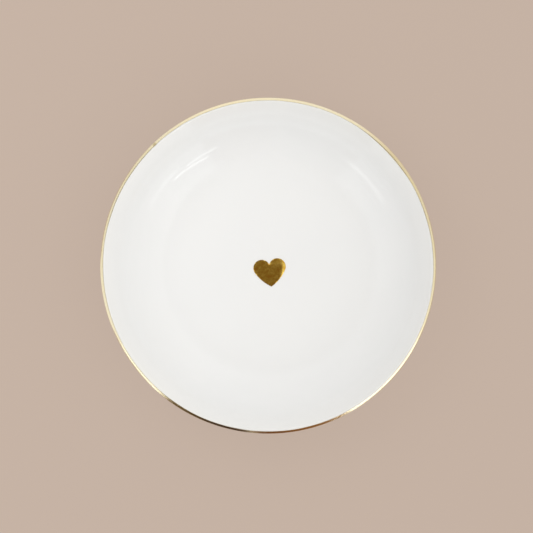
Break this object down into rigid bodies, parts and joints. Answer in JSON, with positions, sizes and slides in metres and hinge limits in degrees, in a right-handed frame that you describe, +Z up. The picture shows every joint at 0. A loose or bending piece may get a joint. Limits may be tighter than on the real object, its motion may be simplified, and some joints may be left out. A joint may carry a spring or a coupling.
{
  "type": "ring dish",
  "caption": "Small round white glazed dish with a shallow flared bowl, a gilded lip and a little gold heart on its floor, for holding rings and small jewellery.",
  "frame": {"origin": "on the ground, at the middle of the foot ring", "axes": "+Z is up out of the bowl; -Y is the side the heart's tip points to, the lower side in the picture; +X is to the right in the picture"},
  "size_m": [0.102, 0.102, 0.019],
  "materials": {
    "porcelain": "bare fired porcelain, smooth and dull",
    "glaze": "clear glossy glaze over white porcelain",
    "gold": "polished gold fired on over the glaze"
  },
  "bodies": {
    "root": {"porcelain_body": "porcelain", "glaze_coat": "glaze", "base_glaze": "glaze", "gold_rim_band": "gold", "gold_heart": "gold"}
  },
  "joints": []
}
